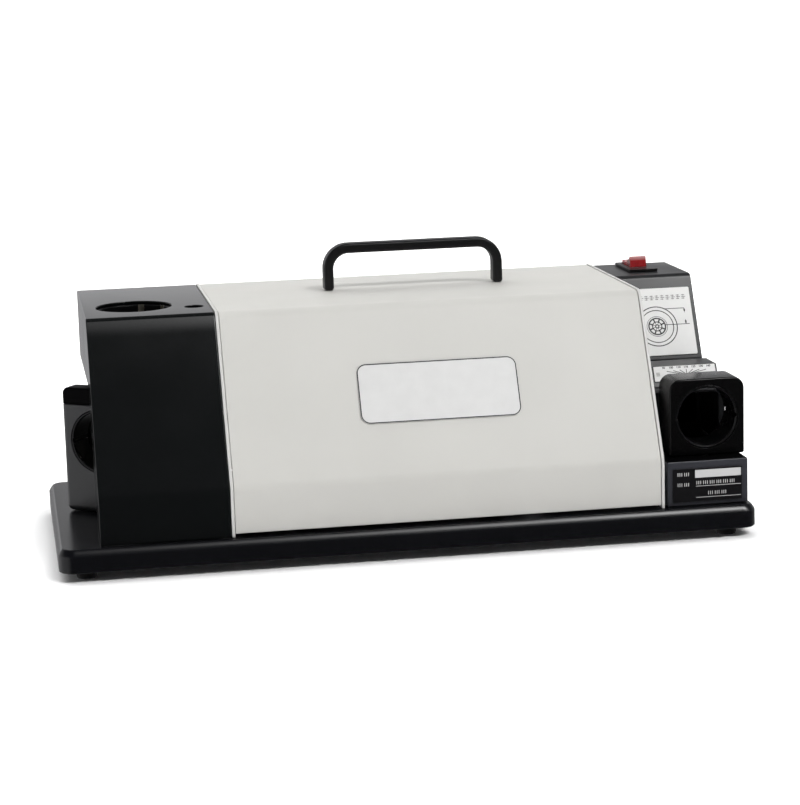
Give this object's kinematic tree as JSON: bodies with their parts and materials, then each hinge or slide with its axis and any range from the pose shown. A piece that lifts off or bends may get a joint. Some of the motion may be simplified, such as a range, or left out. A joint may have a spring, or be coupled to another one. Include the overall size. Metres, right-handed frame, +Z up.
{
  "type": "drill bit sharpener",
  "caption": "Bench drill bit sharpener: white motor cover with a carrying handle, black hood with a chuck setting cup, swivelling grinding port, setting chart and rocker switch.",
  "frame": {"origin": "on the floor under the middle of the base tray", "axes": "+X along the machine to its right end, +Y to its back, +Z up"},
  "size_m": [0.472, 0.22, 0.1967],
  "materials": {
    "base_paint": "gloss",
    "hood_paint": "gloss",
    "console_paint": "gloss",
    "port_black": "gloss",
    "bush_black": "black oxide",
    "cover_paint": "satin powder coat",
    "plate_paint": "satin",
    "handle_black": "satin",
    "foot_rubber": "matte",
    "screw_zinc": "zinc plated",
    "steel": "ground",
    "motor_iron": "matte",
    "copper_winding": "varnished wire",
    "cast_aluminium": "cast",
    "abrasive": "diamond grit on an aluminium body",
    "fan_plastic": "moulded",
    "switch_black": "moulded",
    "inlet_plastic": "moulded",
    "switch_red": "translucent",
    "label_white": "printed film",
    "plate_black": "black printed plate"
  },
  "bodies": {
    "machine": {"angle_scale": "label_white", "base_tray": "base_paint", "bearing_left": "steel", "bearing_right": "steel", "capacitor_clip": "screw_zinc", "cover_label": "label_white", "cover_screw_left_lower": "screw_zinc", "cover_screw_left_upper": "screw_zinc", "cover_screw_right_lower": "screw_zinc", "cover_screw_right_upper": "screw_zinc", "end_bell_left": "cast_aluminium", "end_bell_right": "cast_aluminium", "foot_back_left": "foot_rubber", "foot_back_right": "foot_rubber", "foot_front_left": "foot_rubber", "foot_front_right": "foot_rubber", "handle": "handle_black", "handle_screw_left": "screw_zinc", "handle_screw_right": "screw_zinc", "left_end_plate": "plate_paint", "left_guard_front": "hood_paint", "left_guard_side": "hood_paint", "left_hood": "hood_paint", "lower_right_box": "console_paint", "motor_cover": "cover_paint", "motor_cradle": "cast_aluminium", "motor_shell": "motor_iron", "motor_strap_left": "screw_zinc", "motor_strap_right": "screw_zinc", "port_housing": "console_paint", "power_inlet": "inlet_plastic", "rating_plate": "plate_black", "right_console": "console_paint", "right_end_plate": "plate_paint", "run_capacitor": "cast_aluminium", "setting_chart": "label_white", "setting_cup": "bush_black", "setting_stop": "steel", "stator_core": "motor_iron", "switch_bezel": "switch_black", "swivel_pin": "steel", "thinning_block": "port_black", "thinning_bush": "bush_black", "tool_tube": "bush_black", "winding_left": "copper_winding", "winding_right": "copper_winding"},
    "shaft": {"motor_shaft": "steel", "rotor_core": "motor_iron", "cooling_fan": "fan_plastic", "grinding_wheel": "abrasive", "grinding_wheel_flange": "cast_aluminium", "grinding_wheel_nut": "screw_zinc", "thinning_wheel": "abrasive", "thinning_wheel_flange": "cast_aluminium", "thinning_wheel_nut": "screw_zinc"},
    "swivel_port": {"swivel_block": "port_black", "swivel_bush": "bush_black", "swivel_lock_screw": "screw_zinc"},
    "rocker": {"switch_rocker": "switch_red"}
  },
  "joints": [
    {"name": "shaft_spin", "type": "hinge", "parent": "machine", "child": "shaft", "pos_m": [0, 0.05, 0.0775], "axis": [1, 0, 0], "continuous": true},
    {"name": "port_swivel", "type": "hinge", "parent": "machine", "child": "swivel_port", "pos_m": [0.2074, -0.062, 0.0533], "axis": [0, 0, 1], "range_deg": [-14, 11]},
    {"name": "switch_rock", "type": "hinge", "parent": "machine", "child": "rocker", "pos_m": [0.2008, 0.0765, 0.162], "axis": [1, 0, 0], "range_deg": [0, 26]}
  ]
}
